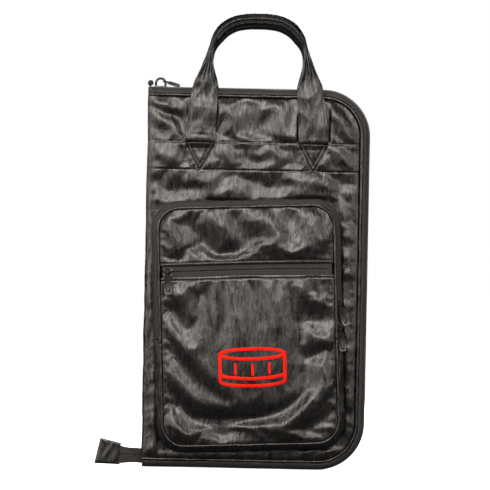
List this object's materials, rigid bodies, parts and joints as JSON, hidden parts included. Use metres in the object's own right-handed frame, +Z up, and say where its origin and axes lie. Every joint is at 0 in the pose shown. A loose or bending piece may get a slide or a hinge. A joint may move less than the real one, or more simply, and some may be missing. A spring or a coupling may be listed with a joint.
{
  "type": "drum stick bag",
  "caption": "Padded black bag for drum sticks that opens like a book round a long zip, with two carry handles, a zipped box pocket and a small zip across the pocket's face.",
  "frame": {"origin": "under the middle of the closed bag's body, on its lowest face", "axes": "+Z up to the handles, +X to the right of the front, +Y towards the back, so the front with its pocket faces -Y and the spine is on the -X side"},
  "size_m": [0.334, 0.0981, 0.562],
  "materials": {
    "leather": "glossy creased synthetic leather",
    "handle_leather": "glossy creased synthetic leather",
    "piping": "glossy synthetic leather over a cord",
    "zip_tape": "matte woven tape",
    "zip_coil": "satin nylon",
    "zip_metal": "black paint worn at the edges",
    "foam": "closed-cell foam",
    "lining": "woven nylon",
    "gusset_web": "coarse woven webbing",
    "thread": "black sewing thread",
    "embroidery": "satin stitch"
  },
  "bodies": {
    "back_half": {"back_panel": "leather", "back_carry_band": "leather", "back_top_panel": "leather", "back_padding": "foam", "back_lining": "lining", "back_stick_sleeves": "lining", "back_gusset": "gusset_web", "back_piping": "piping", "back_zip_tape": "zip_tape", "back_zip_coil": "zip_coil", "zip_start_fold": "zip_tape"},
    "spine": {"spine_panel": "leather", "spine_padding": "foam", "spine_lining": "lining"},
    "zip_tail": {"zip_tail_tape": "zip_tape", "zip_tail_tab": "leather"},
    "front_half": {"front_panel": "leather", "front_carry_band": "leather", "front_top_panel": "leather", "front_padding": "foam", "front_lining": "lining", "front_tool_sleeves": "lining", "front_gusset": "gusset_web", "front_piping": "piping", "front_zip_tape": "zip_tape", "front_zip_coil": "zip_coil", "pocket_base_gusset": "gusset_web", "pocket_lower_gusset": "leather", "pocket_lower_face": "leather", "pocket_lower_piping": "piping", "pocket_inner_tape": "zip_tape", "pocket_inner_coil": "zip_coil", "pocket_zip_stops": "zip_metal", "emblem": "embroidery"},
    "pocket_flap": {"flap_upper_face": "leather", "flap_lower_face": "leather", "flap_piping": "piping", "flap_zip_tape": "zip_tape", "flap_zip_coil": "zip_coil", "face_zip_tapes": "zip_tape", "face_zip_coils": "zip_coil", "face_zip_stops": "zip_metal", "face_zip_pouch": "lining"},
    "front_handle": {"front_handle_strap": "handle_leather", "front_grip_cord": "foam"},
    "rear_handle": {"rear_handle_strap": "handle_leather", "rear_grip_cord": "foam"},
    "main_slider": {"main_slider": "zip_metal"},
    "main_pull": {"main_pull": "zip_metal"},
    "pocket_upper_slider": {"pocket_upper_slider": "zip_metal"},
    "pocket_upper_pull": {"pocket_upper_pull": "zip_metal"},
    "pocket_lower_slider": {"pocket_lower_slider": "zip_metal"},
    "pocket_lower_pull": {"pocket_lower_pull": "zip_metal"},
    "face_slider": {"face_slider": "zip_metal"},
    "face_pull": {"face_pull": "zip_metal"}
  },
  "joints": [
    {"name": "spine_fold", "type": "hinge", "parent": "back_half", "child": "spine", "pos_m": [-0.1365, 0.027, 0.235], "axis": [0, 0, -1], "range_deg": [0, 90]},
    {"name": "cover_fold", "type": "hinge", "parent": "spine", "child": "front_half", "pos_m": [-0.1365, -0.027, 0.235], "axis": [0, 0, -1], "range_deg": [0, 90]},
    {"name": "zip_tail_swing", "type": "hinge", "parent": "spine", "child": "zip_tail", "pos_m": [-0.1385, 0, 0.012], "axis": [0, 0, 1], "range_deg": [-35, 35]},
    {"name": "front_handle_swing", "type": "hinge", "parent": "front_half", "child": "front_handle", "pos_m": [-0.0025, -0.0317, 0.403], "axis": [1, 0, 0], "range_deg": [0, 150]},
    {"name": "rear_handle_swing", "type": "hinge", "parent": "back_half", "child": "rear_handle", "pos_m": [-0.0025, 0.0317, 0.403], "axis": [-1, 0, 0], "range_deg": [0, 165]},
    {"name": "pocket_flap_fold", "type": "hinge", "parent": "front_half", "child": "pocket_flap", "pos_m": [-0.00786, -0.049, 0.16401], "axis": [0.9991, 0, 0.0419], "range_deg": [0, 90]},
    {"name": "main_zip_slide", "type": "slide", "parent": "back_half", "child": "main_slider", "axis": [1, 0, 0], "range_m": [0, 0.195]},
    {"name": "main_pull_flip", "type": "hinge", "parent": "main_slider", "child": "main_pull", "pos_m": [-0.123, 0, 0.4749], "axis": [0, -1, 0], "range_deg": [0, 140]},
    {"name": "pocket_upper_zip_slide", "type": "slide", "parent": "front_half", "child": "pocket_upper_slider", "axis": [-0.0419, 0, 0.9991], "range_m": [0, 0.085]},
    {"name": "pocket_upper_pull_flip", "type": "hinge", "parent": "pocket_upper_slider", "child": "pocket_upper_pull", "pos_m": [0.10247, -0.039, 0.20867], "axis": [0, -1, 0], "range_deg": [0, 130]},
    {"name": "pocket_lower_zip_slide", "type": "slide", "parent": "front_half", "child": "pocket_lower_slider", "axis": [-0.0419, 0, 0.9991], "range_m": [0, 0.003]},
    {"name": "pocket_lower_pull_flip", "type": "hinge", "parent": "pocket_lower_slider", "child": "pocket_lower_pull", "pos_m": [0.10377, -0.039, 0.1777], "axis": [0, -1, 0], "range_deg": [0, 40]},
    {"name": "face_zip_slide", "type": "slide", "parent": "pocket_flap", "child": "face_slider", "axis": [0.9991, 0, 0.0419], "range_m": [0, 0.185]},
    {"name": "face_pull_swing", "type": "hinge", "parent": "face_slider", "child": "face_pull", "pos_m": [-0.10866, -0.0547, 0.24086], "axis": [-0.9991, 0, -0.0419], "range_deg": [0, 150]}
  ],
  "couplings": [
    {"joint": "cover_fold", "follows": "spine_fold", "ratio": 1}
  ]
}
